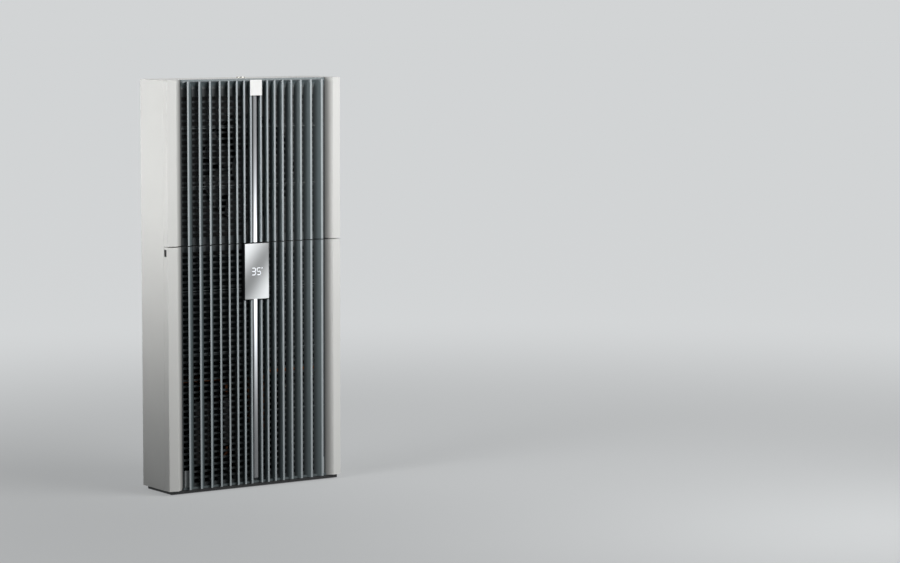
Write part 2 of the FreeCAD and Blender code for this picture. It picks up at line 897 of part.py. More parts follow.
def wing_end(z):
    """The plate that closes a wing and seats it on the hood's flange."""
    start, steps = wing_outline(z)
    steps = steps + [
        [point(guard_half + fit_gap, fin_depth, z)],
        [point(guard_half + fit_gap, hood_front, z)],
        [point(half_width - wing_wall, hood_front, z)],
        [point(half_width - wing_wall, return_depth, z)],
    ]
    return upright(face_of(start, steps), wing_cap)


def wing(z0, z1):
    return fused([wing_shell(z0, z1), wing_end(z0), wing_end(z1 - wing_cap)])


def lower_wing():
    """A wing with the notch and the two ribs that guide its latch."""
    inside = half_width - wing_wall
    ribs = [block(inside - latch_rib_length, inside, notch_front, return_depth, z, z + latch_rib)
            for z in (notch_z - latch_rib, notch_top)]
    notch = block(inside, half_width, notch_front, return_depth, notch_z, notch_top)
    return fused([wing(lower_z, lower_top)] + ribs).cut(notch)


def latch_arm_place():
    """The outer right-hand latch arm's inner side and lower edge."""
    outer = half_width - latch_recess
    middle = (notch_z + notch_top) / 2
    return outer - latch_thickness, middle - latch_arm_height / 2


def latch():
    """A push pad in the notch, with an arm that reaches behind the hood's flange."""
    outer = half_width - latch_recess
    pad = block(outer - latch_thickness, outer, notch_front + latch_clear, return_depth - latch_clear,
                notch_z + latch_clear, notch_top - latch_clear)
    arm_x, arm_z = latch_arm_place()
    arm = block(arm_x, arm_x + latch_arm_thickness, return_depth - latch_clear, flange_back + latch_arm_reach,
                arm_z, arm_z + latch_arm_height)
    return fused([pad, arm])


def fin_offsets():
    """Distances of the fins' front edges from the middle."""
    growth = fin_growth * fin_count * (fin_count - 1) / 2
    first_pitch = (wing_edge - fin_first - growth) / fin_count
    return [fin_first + k * first_pitch + fin_growth * k * (k - 1) / 2 for k in range(fin_count)]


def fin_outside(offset):
    """Distance of a fin's outer front corner from the middle."""
    return offset + fin_thickness * math.hypot(1, offset / fin_focus) / 2


def fin(offset, z0, z1):
    """A slanted blade, as thick across the front as every other, cut flush with the front plane."""
    slope = offset / fin_focus
    outer = fin_outside(offset)
    inner = outer - fin_thickness
    corners = [
        (inner + fin_edge, 0),
        (outer - fin_edge, 0),
        (outer - slope * fin_edge, fin_edge),
        (outer - slope * fin_depth, fin_depth),
        (inner - slope * fin_depth, fin_depth),
        (inner - slope * fin_edge, fin_edge),
    ]
    points = [point(x, d, z0) for x, d in corners]
    return upright(Part.Face(Part.makePolygon(points + points[:1])), z1 - z0)


def fins(z0, z1):
    blades = [fin(offset, z0, z1) for offset in fin_offsets()]
    return blades + [mirrored(blade) for blade in blades]


def tie(z):
    """A thin bar that ties one side's fins together."""
    back = fin_depth - tie_setback
    return block(tie_half_gap, bevel_x - fit_gap, back - tie_depth, back, z, z + tie_height)


def rail_mitre(reach, foot):
    """What is cut off the rail's right end, so that the wing's bevel stays open up to the top."""
    start = fin_outside(fin_offsets()[-1])
    run = (reach - start) / fin_depth
    corners = [(start - run, -1), (reach + 1, -1), (reach + 1, fin_depth), (reach, fin_depth)]
    points = [point(x, d, foot - 1) for x, d in corners]
    return upright(Part.Face(Part.makePolygon(points + points[:1])), cove_drop + 2)


def top_rail():
    """The rail above the fins, with a cove that leads the air out."""
    reach = bevel_x - fit_gap
    lean = math.sqrt(0.5)
    under = top_z - rail_height
    foot = top_z - cove_drop
    cove_back = fin_depth - cove_foot
    steps = [
        [point(-reach, return_depth, top_z)],
        [point(-reach, return_depth, top_z - rail_skin)],
        [point(-reach, guard_back, top_z - rail_skin)],
        [point(-reach, guard_back, foot)],
        [point(-reach, cove_back, foot)],
        [point(-reach, rail_lip + (cove_back - rail_lip) * lean, foot + (under - foot) * lean),
         point(-reach, rail_lip, under)],
        [point(-reach, 0, under)],
    ]
    rail = face_of(point(-reach, 0, top_z), steps).extrude(Vector(2 * reach, 0, 0))
    mitre = rail_mitre(reach, foot)
    ledge = block(-guard_half, guard_half, fin_depth, return_depth, top_z - rail_skin, top_z)
    return fused([rail.cut(mitre).cut(mirrored(mitre)), ledge])


def upper_louvre():
    ties = [tie(upper_z + upper_tie_pitch * (index + 1)) for index in range(upper_tie_count)]
    ties += [mirrored(bar) for bar in ties]
    return fused([top_rail()] + fins(upper_z, top_z - rail_skin) + ties)


def lower_louvre():
    ties = [tie(base_z + lower_tie_first + lower_tie_pitch * index) for index in range(lower_tie_count)]
    ties += [mirrored(bar) for bar in ties]
    reach = bevel_x - fit_gap
    foot_rail = block(-reach, reach, fin_depth - foot_rail_depth, fin_depth, lower_z, lower_z + foot_rail_height)
    half = display_width / 2 + display_clear
    display_room = block(-half, half, 0, fin_depth, display_z - display_clear, lower_top)
    tabs = seat_tabs()
    louvre = fused([foot_rail] + fins(lower_z, lower_top) + ties)
    return louvre.cut(display_room).cut(tabs)


def guard(z0, z1):
    """A finger guard of level bars, with uprights at the sides and in the middle."""
    plate = block(-guard_half, guard_half, fin_depth, guard_back, z0, z1)
    outer = guard_half - guard_margin
    rows = int((z1 - z0 - 2 * guard_margin) / guard_pitch)
    start = (z0 + z1 - rows * guard_pitch + guard_pitch - guard_opening) / 2
    slots = []
    for row in range(rows):
        z = start + row * guard_pitch
        slot = block(light_width / 2, outer, fin_depth, guard_back, z, z + guard_opening)
        slots += [slot, mirrored(slot)]
    return plate.cut(Part.makeCompound(slots))


def upper_guard():
    return guard(upper_z, top_z - cove_drop - fit_gap)


def lower_guard():
    return guard(lower_z, lower_top)


def light_guide(z0, z1):
    """A clear bar with a slightly crowned face that glows along the middle."""
    half = light_width / 2
    edge = light_setback + light_crown
    steps = [
        [point(0, light_setback, z0), point(half, edge, z0)],
        [point(half, fin_depth, z0)],
        [point(-half, fin_depth, z0)],
    ]
    return upright(face_of(point(-half, edge, z0), steps), z1 - z0)


def upper_light_guide():
    return light_guide(upper_z, top_z - cove_drop - fit_gap)


def lower_light_guide():
    return light_guide(lower_z + light_foot_gap, display_z - fit_gap)


def rounded_plate(half, d0, d1, z0, z1, corner):
    plate = block(-half, half, d0, d1, z0, z1)
    edges = [edge for edge in plate.Edges if abs(edge.tangentAt(edge.FirstParameter).y) > 0.5]
    return plate.makeFillet(corner, edges)


def badge_plate():
    high = top_z - badge_drop
    return rounded_plate(badge_width / 2, -badge_thickness, 0, high - badge_height, high, display_corner)


def display_housing():
    half = display_width / 2
    body = rounded_plate(half, 0, fin_depth, display_z, lower_top, display_corner)
    pocket = block(-half + display_wall, half - display_wall, 0, display_pocket,
                   display_z + display_wall, lower_top - display_wall)
    return body.cut(pocket)


def display_face():
    return rounded_plate(display_width / 2, -display_proud, 0, display_z, lower_top, display_corner)


def seat_tabs():
    right = bevel_x - tab_gap
    tab = block(right - tab_width, right, fin_depth - tab_thickness, fin_depth,
                lower_z + tab_lift, lower_z + tab_lift + tab_height)
    return both_sides(tab)


right_side = side_panel()
right_upper_wing = wing(upper_z, top_z)
right_lower_wing = lower_wing()
right_latch = latch()

parts = {
    "foot_pads": foot_pads(),
    "plinth_rails": plinth_rails(),
    "plinth_skirt": plinth_skirt(),
    "base_tray": base_tray(),
    "right_side_panel": right_side,
    "left_side_panel": mirrored(right_side),
    "top_panel": top_panel(),
    "rear_panel": rear_panel(),
    "rear_gasket": rear_gasket(),
    "rear_inserts": rear_inserts(),
    "lifting_insert": lifting_insert(),
    "cable_gland": cable_gland(),
    "bay_shelf": bay_shelf(),
    "partition_panel": partition_panel(),
    "condensate_tray": condensate_tray(),
    "drain_pipe": drain_pipe(),
    "condenser_coil": condenser_coil(),
    "condenser_headers": condenser_headers(),
    "fan_shroud": fan_shroud(),
    "condenser_fan_motor": condenser_fan_motor(),
    "condenser_impeller": condenser_impeller(),
    "evaporator_coil": evaporator_coil(),
    "evaporator_headers": evaporator_headers(),
    "inlet_ring": inlet_ring(),
    "evaporator_fan_motor": evaporator_fan_motor(),
    "evaporator_impeller": evaporator_impeller(),
    "compressor": compressor(),
    "compressor_plate": compressor_plate(),
    "compressor_grommets": compressor_grommets(),
    "accumulator": accumulator(),
    "accumulator_elbow": accumulator_elbow(),
    "discharge_pipe": discharge_pipe(),
    "liquid_pipe": liquid_pipe(),
    "filter_dryer": filter_dryer(),
    "injection_pipe": injection_pipe(),
    "expansion_valve": expansion_valve(),
    "evaporator_feed": evaporator_feed(),
    "suction_pipe": suction_pipe(),
    "electronics_box": electronics_box(),
    "electronics_lid": electronics_lid(),
    "control_board": control_board(),
    "upper_wing_right": right_upper_wing,
    "upper_wing_left": mirrored(right_upper_wing),
    "upper_louvre": upper_louvre(),
    "upper_guard": upper_guard(),
    "upper_light_guide": upper_light_guide(),
    "badge_plate": badge_plate(),
    "lower_wing_right": right_lower_wing,
    "lower_wing_left": mirrored(right_lower_wing),
    "lower_louvre": lower_louvre(),
    "lower_guard": lower_guard(),
    "lower_light_guide": lower_light_guide(),
    "seat_tabs": seat_tabs(),
    "display_housing": display_housing(),
    "display_face": display_face(),
    "latch_right": right_latch,
    "latch_left": mirrored(right_latch),
}

os.makedirs("parts", exist_ok=True)
for name, shape in parts.items():
    shape.exportStep(os.path.join("parts", name + ".step"))
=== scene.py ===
import math

import bmesh
import bpy
from bpy.props import FloatProperty, FloatVectorProperty, IntProperty, PointerProperty, StringProperty
from mathutils import Matrix, Vector


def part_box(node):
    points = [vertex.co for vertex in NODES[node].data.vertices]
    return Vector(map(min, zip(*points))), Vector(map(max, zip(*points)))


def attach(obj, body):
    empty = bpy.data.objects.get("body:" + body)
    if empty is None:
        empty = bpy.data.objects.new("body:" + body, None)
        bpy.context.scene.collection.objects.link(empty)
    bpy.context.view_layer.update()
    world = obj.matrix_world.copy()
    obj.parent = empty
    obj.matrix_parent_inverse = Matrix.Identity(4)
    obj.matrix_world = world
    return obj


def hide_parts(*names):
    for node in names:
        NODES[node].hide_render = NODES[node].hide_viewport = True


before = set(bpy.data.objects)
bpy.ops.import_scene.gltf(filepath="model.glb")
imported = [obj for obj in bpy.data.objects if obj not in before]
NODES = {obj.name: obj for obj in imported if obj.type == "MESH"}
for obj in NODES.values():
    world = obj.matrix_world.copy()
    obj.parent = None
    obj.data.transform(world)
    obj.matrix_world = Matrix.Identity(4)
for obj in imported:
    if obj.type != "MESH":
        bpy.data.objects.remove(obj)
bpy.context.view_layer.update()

bl_info = {
    "name": "Enclosure cooling unit",
    "version": (1, 0, 0),
    "blender": (4, 5, 0),
    "location": "3D View > Sidebar > Cooling unit",
    "description": "Gives the packed cooling unit its finishes, its fine parts and a plain stage",
    "category": "Object",
}

MM = 0.001
TONE_STEP = 0.1 * MM  # width of a painted edge between two tones
RING_STEPS = 24  # points on a ring of the degree mark and of the screws


def linear(hex_colour):
    """Linear red, green and blue of an sRGB colour such as E6E6E2."""
    shares = [int(hex_colour[i:i + 2], 16) / 255 for i in (0, 2, 4)]
    return [s / 12.92 if s <= 0.04045 else ((s + 0.055) / 1.055) ** 2.4 for s in shares]


def colour_value(name, words, hex_colour):
    """A colour that a user may change."""
    return FloatVectorProperty(name=name, description=words, subtype="COLOR", size=3, min=0, max=1,
                               default=linear(hex_colour))


def length_value(name, words, millimetres):
    """A length that a user may change."""
    return FloatProperty(name=name, description=words, subtype="DISTANCE", unit="LENGTH",
                         default=millimetres * MM, precision=5)


def place_value(name, words, metres):
    """A point that a user may change."""
    return FloatVectorProperty(name=name, description=words, subtype="XYZ", unit="LENGTH",
                               default=metres, precision=4)


def angle_value(name, words, degrees):
    """An angle that a user may change."""
    return FloatProperty(name=name, description=words, subtype="ANGLE", default=math.radians(degrees))


def unit_value(name, words, unit, value):
    """A power or a camera's length that a user may change."""
    return FloatProperty(name=name, description=words, unit=unit, default=value)


def share_value(name, words, share):
    """A share from 0 to 1 that a user may change."""
    return FloatProperty(name=name, description=words, subtype="FACTOR", default=share, min=0, max=1)


class UnitColours(bpy.types.PropertyGroup):
    """Colours of the finishes."""
    hood: colour_value("Hood", "Off-white powder coat on the hood", "E6E6E3")
    wing: colour_value("Wings", "Off-white moulded wings of the front covers", "E4E4E1")
    fin_edge: colour_value("Fin edges", "Light grey front edges of the fins", "A8B0B3")
    fin_flank: colour_value("Fin flanks", "Dark teal-grey flanks of the fins", "616C6F")
    guard: colour_value("Guard", "Near-black moulded finger guard", "33383A")
    light: colour_value("Light bar", "Light that the bar gives", "F6FAFF")
    display: colour_value("Display plate", "Satin anodised aluminium", "C8CACB")
    badge: colour_value("Badge plate", "Bare white plate", "F2F2F0")
    tab: colour_value("Seat tabs", "Light grey moulded tabs", "A9AEAF")
    dark_plastic: colour_value("Dark plastic", "Latches, display housing and gland", "141617")
    rubber: colour_value("Rubber", "Pads, grommets and foam strips", "1B1B1C")
    # On the rear panel's inside this black is painted shade.
    black_coat_and_shade: colour_value("Black coat", "Black coat on the plinth and shroud, painted shade on the rear's inside", "17181A")
    zinc: colour_value("Zinc", "Zinc-coated sheet steel", "AEB3B6")
    # This dark zinc is painted shade for the sheet parts inside the unit.
    zinc_painted_shade: colour_value("Dark zinc", "Zinc darkened as painted shade on the inner sheet parts", "2E3133")
    # This dark colour is painted shade for the coils inside the unit.
    coil: colour_value("Coil fins", "Aluminium fin packs, darkened as painted shade", "2C3032")
    # This dark brown is painted shade for the pipes inside the unit.
    copper: colour_value("Copper", "Drawn copper pipe, darkened as painted shade", "6C4632")
    enamel: colour_value("Enamel", "Black enamel on cans and motors", "141516")
    blade: colour_value("Fan blades", "Glass-filled black plastic", "202224")
    board: colour_value("Circuit board", "Green solder mask", "1E5B3A")
    nickel: colour_value("Nickel", "Nickel-plated steel inserts and screws", "C6C4BD")
    tray: colour_value("Tray", "Dark moulded condensate tray and drain", "24272A")


class UnitSizes(bpy.types.PropertyGroup):
    """Sizes of the fine parts."""
    soft_edge: length_value("Soft edge", "Radius on the edges of sheet and plates", 0.5)
    rail_height: length_value("Rail height", "Height of the rail above the fins", 4.0)
    cove_drop: length_value("Cove drop", "Height of the cove and the rail together", 22.0)
    wing_corner: length_value("Wing corner", "Radius of the solid wings' outer front corner", 6.0)
    wing_crease: length_value("Wing crease", "Radius that this corner gets", 1.5)
    wing_slant: length_value("Wing slant", "How far a wing's front slants back to this corner", 4.0)
    bevel_width: length_value("Bevel width", "Width of the bevel along a wing's inner side", 16.5)
    glow_depth: length_value("Glow depth", "How far the light bar glows behind its front", 1.2)
    glow_core: length_value("Glow core", "Half the width of the light bar's bright core", 3.0)
    digit_height: length_value("Digit height", "Height of a display digit", 17.8)
    digit_width: length_value("Digit width", "Width of a display digit", 11.0)
    digit_pitch: length_value("Digit pitch", "Distance between the digits' middles", 13.8)
    digit_stroke: length_value("Digit stroke", "Width of one lit segment", 1.9)
    digit_gap: length_value("Segment gap", "Dark gap between two segments", 0.4)
    digit_proud: length_value("Segment thickness", "How far a lit segment stands out", 0.12)
    digit_drop: length_value("Digit drop", "Digits' middle below the plate's top edge", 65.5)
    digit_shift: length_value("Digit shift", "Digits' middle beside the plate's middle", -2.0)
    degree_radius: length_value("Degree radius", "Outer radius of the degree ring", 1.7)
    temperature: StringProperty(name="Temperature", description="Digits on the display", default="35")
    screw_radius: length_value("Screw radius", "Radius of a button head", 4.2)
    screw_height: length_value("Screw height", "Height of a button head", 2.4)
    screw_socket: length_value("Screw socket", "Width of the six-sided socket across its flats", 2.5)
    inlet_screw_circle: length_value("Inlet screw circle", "Radius of the inlet screws' circle", 72.0)
    inlet_screws: IntProperty(name="Inlet screws", description="Screws round the inlet", default=6, min=3)
    lid_screw_inset: length_value("Lid screw inset", "Distance of the lid's screws from its edges", 8.0)


class UnitStage(bpy.types.PropertyGroup):
    """The camera and the studio."""
    camera_place: place_value("Camera place", "Where the camera stands", (-3.5906, -6.0066, 1.1732))
    camera_yaw: angle_value("Camera yaw", "Turn to the right of straight ahead", 34.878)
    camera_pitch: angle_value("Camera pitch", "Tilt above the level", -5.652)
    camera_roll: angle_value("Camera roll", "Turn about the line of sight", 0.118)
    camera_lens: unit_value("Lens", "Focal length", "CAMERA", 119.1)
    camera_sensor: unit_value("Sensor", "Width of the sensor", "CAMERA", 36.0)
    floor: colour_value("Floor", "Plain pale floor and background", "D2D4D5")
    floor_radius: length_value("Floor radius", "Radius of the round floor", 60000.0)
    floor_bounce: share_value("Floor bounce", "Share of the floor's colour that it throws back", 0.5)
    pool_place: place_value("Pool place", "Where the lamps light the floor most", (0.3, -0.7, 0.0))
    pool_inner: length_value("Inner pool", "Distance up to which the floor is fully lit", 500.0)
    pool_outer: length_value("Outer pool", "Distance at which the lamps' light ends", 4000.0)
    pool_lift: share_value("Pool lift", "How pale the floor looks in the pool without the lamps", 0.45)
    ambient: share_value("Room light", "Strength of the even light from all around", 0.18)
    side_place: place_value("Side lamp place", "Where the left soft lamp hangs", (-1.0, -0.15, 1.22))
    side_target: place_value("Side lamp target", "Where the side lamp points", (-0.23, 0.0, 0.85))
    side_size: length_value("Side lamp size", "Width of the side lamp's disc", 1000.0)
    side_spread: angle_value("Side lamp spread", "Width of the side lamp's beam", 50.0)
    side_power: unit_value("Side lamp power", "Power of the side lamp", "POWER", 2.3)
    front_place: place_value("Front lamp place", "Where the front soft lamp hangs", (0.95, -1.45, 1.25))
    front_target: place_value("Front lamp target", "Where the front lamp points", (0.05, 0.0, 0.7))
    front_size: length_value("Front lamp size", "Width of the front lamp's disc", 1800.0)
    front_spread: angle_value("Front lamp spread", "Width of the front lamp's beam", 180.0)
    front_power: unit_value("Front lamp power", "Power of the front lamp", "POWER", 29.0)


def add_node(tree, kind, settings, inputs, stops=()):
    """Adds one shader node with its settings, fills or links its inputs, and gives a ramp its colours.
    Of a ramp's stops, each a position and a colour, the first two are its ends."""
    made = tree.nodes.new(kind)
    for name, value in settings.items():
        setattr(made, name, value)
    for name, value in inputs.items():
        if isinstance(value, bpy.types.NodeSocket):
            tree.links.new(value, made.inputs[name])
        else:
            made.inputs[name].default_value = value
    for index, (position, colour) in enumerate(stops):
        elements = made.color_ramp.elements
        stop = elements[index] if index < 2 else elements.new(position)
        stop.position = position
        stop.color = (*colour, 1)
    return made


def start_material(name, colour, metallic, roughness):
    """A material with its shader set to one colour, and the object's own coordinates."""
    material = bpy.data.materials.new(name)
    material.use_nodes = True
    tree = material.node_tree
    shader = tree.nodes["Principled BSDF"]
    shader.inputs["Base Color"].default_value = (*colour, 1)
    shader.inputs["Metallic"].default_value = metallic
    shader.inputs["Roughness"].default_value = roughness
    place = add_node(tree, "ShaderNodeTexCoord", {}, {}).outputs["Object"]
    return material, tree, shader, place


def per_metre(millimetres):
    """Texture scale at which one pattern cell is that long."""
    return 1 / (millimetres * MM)


def toned(colour, share):
    """A colour made darker, or lighter with a share above 1."""
    return [channel * share for channel in colour]


def uneven_tone(tree, shader, place, colour, patch_mm, depth):
    """A faintly uneven tone, in patches of that length."""
    patches = add_node(tree, "ShaderNodeTexNoise", {}, {
        "Vector": place, "Scale": per_metre(patch_mm), "Detail": 3.0})
    tone = add_node(tree, "ShaderNodeValToRGB", {}, {"Fac": patches.outputs["Fac"]},
                    [(0.3, toned(colour, 1 - depth)), (0.7, colour)])
    tree.links.new(tone.outputs["Color"], shader.inputs["Base Color"])


def fine_relief(tree, shader, place, grain_mm, depth_mm):
    """The fine random relief that a coat or a mould leaves, with grains of that length."""
    grain = add_node(tree, "ShaderNodeTexNoise", {}, {"Vector": place, "Scale": per_metre(grain_mm)})
    relief = add_node(tree, "ShaderNodeBump", {}, {
        "Height": grain.outputs["Fac"], "Distance": depth_mm * MM, "Strength": 0.25})
    tree.links.new(relief.outputs["Normal"], shader.inputs["Normal"])


def powder_coat(name, colour, roughness):
    """Polyester powder coat baked on steel: satin, with a faint orange peel."""
    material, tree, shader, place = start_material(name, colour, metallic=0.0, roughness=roughness)
    uneven_tone(tree, shader, place, colour, patch_mm=90.0, depth=0.03)
    fine_relief(tree, shader, place, grain_mm=2.6, depth_mm=0.03)
    return material


def moulded_plastic(name, colour, roughness, grain_mm=1.0):
    """Injection-moulded plastic from an eroded mould: even, fine-grained and satin.
    The grain of about 0.2 mm is drawn coarser so that it shows."""
    material, tree, shader, place = start_material(name, colour, metallic=0.0, roughness=roughness)
    uneven_tone(tree, shader, place, colour, patch_mm=60.0, depth=0.05)
    fine_relief(tree, shader, place, grain_mm, depth_mm=0.02)
    return material


def fins_with_painted_shade(name, edge, flank, box, depth, rail_height, cove_drop):
    """Moulded ABS fins: light front edges, and dark flanks that turn darker towards the guard as painted
    shade.
    The cove above them gets a lighter tone as painted light, and the rail keeps the flanks' tone."""
    material, tree, shader, place = start_material(name, flank, metallic=0.0, roughness=0.42)
    low, high = box
    rail_z = high.z - rail_height
    # In the cove the fins get a lighter tone as painted light.
    cove_painted_light, rail_tone = 0.055, 0.08  # positions on the ramp below
    parts = add_node(tree, "ShaderNodeSeparateXYZ", {}, {"Vector": place})
    # Painted shade: the flanks' tone darkens with depth towards the guard.
    back = add_node(tree, "ShaderNodeMapRange", {}, {
        "Value": parts.outputs["Y"], "From Min": low.y, "From Max": low.y + depth})
    cove = add_node(tree, "ShaderNodeMapRange", {"interpolation_type": "SMOOTHSTEP"}, {
        "Value": parts.outputs["Z"], "From Min": high.z - cove_drop, "From Max": rail_z})
    rail = add_node(tree, "ShaderNodeMapRange", {}, {
        "Value": parts.outputs["Z"], "From Min": rail_z, "From Max": rail_z + TONE_STEP,
        "To Max": rail_tone})
    shallow = add_node(tree, "ShaderNodeMath", {"operation": "MINIMUM"},
                       {0: back.outputs["Result"], 1: cove_painted_light})
    lit = add_node(tree, "ShaderNodeMix", {}, {
        "Factor": cove.outputs["Result"], "A": back.outputs["Result"], "B": shallow.outputs[0]})
    share = add_node(tree, "ShaderNodeMath", {"operation": "MAXIMUM"},
                     {0: lit.outputs["Result"], 1: rail.outputs["Result"]})
    # The positions are shares of the fins' depth, from their front edges to the guard.
    # The flanks' darkening towards the guard is painted shade.
    edge_end, flank_start, flank_middle = 0.04, 0.09, 0.45
    tone = add_node(tree, "ShaderNodeValToRGB", {}, {"Fac": share.outputs[0]},
                    [(edge_end, edge), (1.0, toned(flank, 0.2)), (flank_start, flank),
                     (flank_middle, toned(flank, 0.85))])
    tree.links.new(tone.outputs["Color"], shader.inputs["Base Color"])
    fine_relief(tree, shader, place, grain_mm=1.0, depth_mm=0.02)
    return material


def wings_with_painted_shade(name, colour, foot, crease):
    """Moulded ABS, even and satin. The bevel turns darker towards its foot as painted shade,
    for the shade that the fins cast on it.
    """
    material, tree, shader, place = start_material(name, colour, metallic=0.0, roughness=0.45)
    parts = add_node(tree, "ShaderNodeSeparateXYZ", {}, {"Vector": place})
    aside = add_node(tree, "ShaderNodeMath", {"operation": "ABSOLUTE"}, {0: parts.outputs["X"]})
    share = add_node(tree, "ShaderNodeMapRange", {}, {
        "Value": aside.outputs[0], "From Min": foot, "From Max": crease})
    # Painted shade: the bevel's tone falls to 0.3 of the colour at its foot.
    tone = add_node(tree, "ShaderNodeValToRGB", {}, {"Fac": share.outputs["Result"]},
                    [(0.0, toned(colour, 0.3)), (1.0, colour)])
    tree.links.new(tone.outputs["Color"], shader.inputs["Base Color"])
    fine_relief(tree, shader, place, grain_mm=1.2, depth_mm=0.02)
    return material


def opal_acrylic(name, colour, box, upwards, glow_depth, glow_core):
    """Opal acrylic lit from the display: the middle of its front is brightest there and fades along
    the bar."""
    unlit = toned(colour, 0.25)
    material, tree, shader, place = start_material(name, unlit, metallic=0.0, roughness=0.3)
    low, high = box
    lit_end, dim_end = (low.z, high.z) if upwards else (high.z, low.z)
    front_glow, flank_glow, rim_share, fade_power = 2.2, 0.3, 0.2, 3.0
    parts = add_node(tree, "ShaderNodeSeparateXYZ", {}, {"Vector": place})
    near = add_node(tree, "ShaderNodeMapRange", {}, {
        "Value": parts.outputs["Z"], "From Min": dim_end, "From Max": lit_end})
    fade = add_node(tree, "ShaderNodeMath", {"operation": "POWER"},
                    {0: near.outputs["Result"], 1: fade_power})
    front = add_node(tree, "ShaderNodeMapRange", {}, {
        "Value": parts.outputs["Y"], "From Min": low.y, "From Max": low.y + glow_depth,
        "To Min": front_glow, "To Max": flank_glow})
    aside = add_node(tree, "ShaderNodeMath", {"operation": "ABSOLUTE"}, {0: parts.outputs["X"]})
    core = add_node(tree, "ShaderNodeMapRange", {}, {
        "Value": aside.outputs[0], "From Min": glow_core, "From Max": high.x,
        "To Min": 1.0, "To Max": rim_share})
    glow = fade.outputs[0]
    for share in (front, core):
        glow = add_node(tree, "ShaderNodeMath", {"operation": "MULTIPLY"},
                        {0: glow, 1: share.outputs["Result"]}).outputs[0]
    shader.inputs["Emission Color"].default_value = (*colour, 1)
    tree.links.new(glow, shader.inputs["Emission Strength"])
    return material


def lit_segment(name, colour):
    """A lit display segment under a clear skin, with the slightly uneven glow of its lamps."""
    material, tree, shader, place = start_material(name, colour, metallic=0.0, roughness=0.3)
    lamps = add_node(tree, "ShaderNodeTexNoise", {}, {"Vector": place, "Scale": per_metre(3.0)})
    glow = add_node(tree, "ShaderNodeMapRange", {}, {
        "Value": lamps.outputs["Fac"], "To Min": 0.3, "To Max": 0.5})
    shader.inputs["Emission Color"].default_value = (*colour, 1)
    tree.links.new(glow.outputs["Result"], shader.inputs["Emission Strength"])
    return material


def anodised_aluminium(name, colour, box):
    """Satin anodised aluminium, brushed up and down, with a painted reflection:
    a base colour that runs light, dark and light again from corner to corner.
    """
    material, tree, shader, place = start_material(name, colour, metallic=1.0, roughness=0.38)
    low, high = box
    parts = add_node(tree, "ShaderNodeSeparateXYZ", {}, {"Vector": place})
    across = add_node(tree, "ShaderNodeMapRange", {}, {
        "Value": parts.outputs["X"], "From Min": low.x, "From Max": high.x})
    down = add_node(tree, "ShaderNodeMapRange", {}, {
        "Value": parts.outputs["Z"], "From Min": high.z, "From Max": low.z})
    # Painted reflection: the colour is lighter at both ends of the slant and darker in a band across it.
    steepness, reflection_dark_band = 0.6, 0.48
    slant = add_node(tree, "ShaderNodeMix", {}, {
        "Factor": steepness, "A": across.outputs["Result"], "B": down.outputs["Result"]})
    painted_reflection = add_node(tree, "ShaderNodeValToRGB", {}, {"Fac": slant.outputs["Result"]},
                     [(0.05, toned(colour, 0.85)), (0.95, colour), (reflection_dark_band, toned(colour, 0.31))])
    painted_reflection.color_ramp.interpolation = "EASE"
    tree.links.new(painted_reflection.outputs["Color"], shader.inputs["Base Color"])
    stroke_width, stroke_length = per_metre(0.6), per_metre(40.0)
    brushed = add_node(tree, "ShaderNodeMapping", {}, {
        "Vector": place, "Scale": (stroke_width, stroke_width, stroke_length)})
    grain = add_node(tree, "ShaderNodeTexNoise", {}, {"Vector": brushed.outputs["Vector"], "Scale": 1.0})
    gloss = add_node(tree, "ShaderNodeMapRange", {}, {
        "Value": grain.outputs["Fac"], "To Min": 0.3, "To Max": 0.46})
    tree.links.new(gloss.outputs["Result"], shader.inputs["Roughness"])
    return material


def rubber(name, colour, pore_mm, depth_mm):
    """Cured rubber or foam: matt black with open pores."""
    material, tree, shader, place = start_material(name, colour, metallic=0.0, roughness=0.85)
    pores = add_node(tree, "ShaderNodeTexVoronoi", {}, {"Vector": place, "Scale": per_metre(pore_mm)})
    tone = add_node(tree, "ShaderNodeValToRGB", {}, {"Fac": pores.outputs["Distance"]},
                    [(0.0, toned(colour, 0.6)), (1.0, colour)])
    tree.links.new(tone.outputs["Color"], shader.inputs["Base Color"])
    relief = add_node(tree, "ShaderNodeBump", {}, {
        "Height": pores.outputs["Distance"], "Distance": depth_mm * MM, "Strength": 0.6})
    tree.links.new(relief.outputs["Normal"], shader.inputs["Normal"])
    return material


def zinc_sheet(name, colour, inside_shade=None, outside=0.0):
    """Hot-dip zinc-coated steel: flat crystals a centimetre across that differ in tone and gloss.
    With a colour for painted shade, all that lies in front of the outer face is painted with it."""
    material, tree, shader, place = start_material(name, colour, metallic=1.0, roughness=0.42)
    spangle = add_node(tree, "ShaderNodeTexVoronoi", {}, {"Vector": place, "Scale": per_metre(11.0)})
    chance = add_node(tree, "ShaderNodeSeparateColor", {}, {"Color": spangle.outputs["Color"]})
    tone = add_node(tree, "ShaderNodeValToRGB", {}, {"Fac": chance.outputs["Red"]},
                    [(0.0, toned(colour, 0.78)), (1.0, colour)]).outputs["Color"]
    # Painted shade: the faces in front of the outer face take the dark colour.
    if inside_shade:
        # A Mix node's sockets for colours have the names of those for numbers, so they go by place.
        first_colour, second_colour, mixed_colour = 6, 7, 2
        parts = add_node(tree, "ShaderNodeSeparateXYZ", {}, {"Vector": place})
        bare = add_node(tree, "ShaderNodeMapRange", {}, {
            "Value": parts.outputs["Y"], "From Min": outside - 2 * TONE_STEP,
            "From Max": outside - TONE_STEP})
        mix = add_node(tree, "ShaderNodeMix", {"data_type": "RGBA"}, {
            "Factor": bare.outputs["Result"], first_colour: (*inside_shade, 1), second_colour: tone})
        tone = mix.outputs[mixed_colour]
    tree.links.new(tone, shader.inputs["Base Color"])
    gloss = add_node(tree, "ShaderNodeMapRange", {}, {
        "Value": chance.outputs["Green"], "To Min": 0.34, "To Max": 0.5})
    tree.links.new(gloss.outputs["Result"], shader.inputs["Roughness"])
    return material


